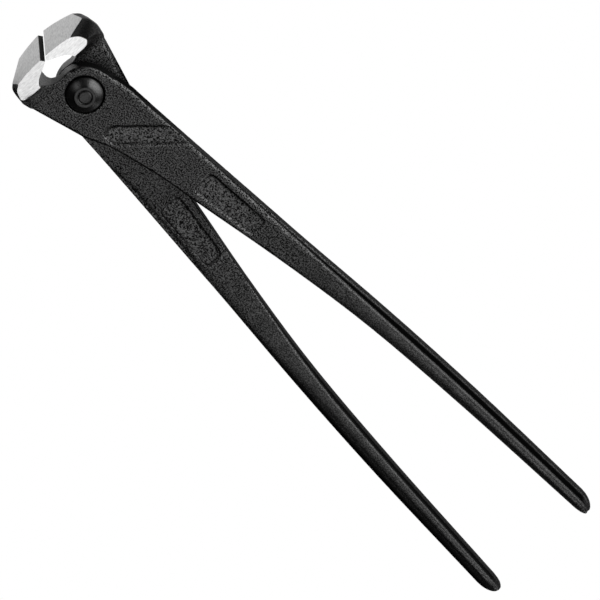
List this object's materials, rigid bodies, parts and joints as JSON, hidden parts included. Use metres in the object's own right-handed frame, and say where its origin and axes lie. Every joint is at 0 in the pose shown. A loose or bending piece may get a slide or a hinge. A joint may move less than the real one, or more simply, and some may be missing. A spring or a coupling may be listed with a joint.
{
  "type": "rebar tying pliers",
  "caption": "End cutting nippers with long slim handles for tying and cutting reinforcing wire, blackened forged levers with bright ground jaws on a lap joint.",
  "frame": {"origin": "centre of the bounding box at rest, on its lowest plane", "axes": "+X from the jaws to the handle ends, +Y to the front lever's handle, +Z along the rivet to the face seen in the picture"},
  "size_m": [0.2504, 0.0484, 0.0256],
  "materials": {
    "blackened_forged_steel": "forged steel, phosphated black and blasted to a fine satin grain; jaw faces, jaw sides and cutting bevels ground bright",
    "blackened_rivet_steel": "turned steel rivet, phosphated black, satin"
  },
  "bodies": {
    "rear": {"rear_lever": "blackened_forged_steel", "pivot_rivet": "blackened_rivet_steel"},
    "front": {"front_lever": "blackened_forged_steel"}
  },
  "joints": [
    {"name": "jaw_pivot", "type": "hinge", "parent": "rear", "child": "front", "pos_m": [-0.1041, 0, 0.01279], "axis": [0, 0, 1], "range_deg": [-1, 45]}
  ]
}
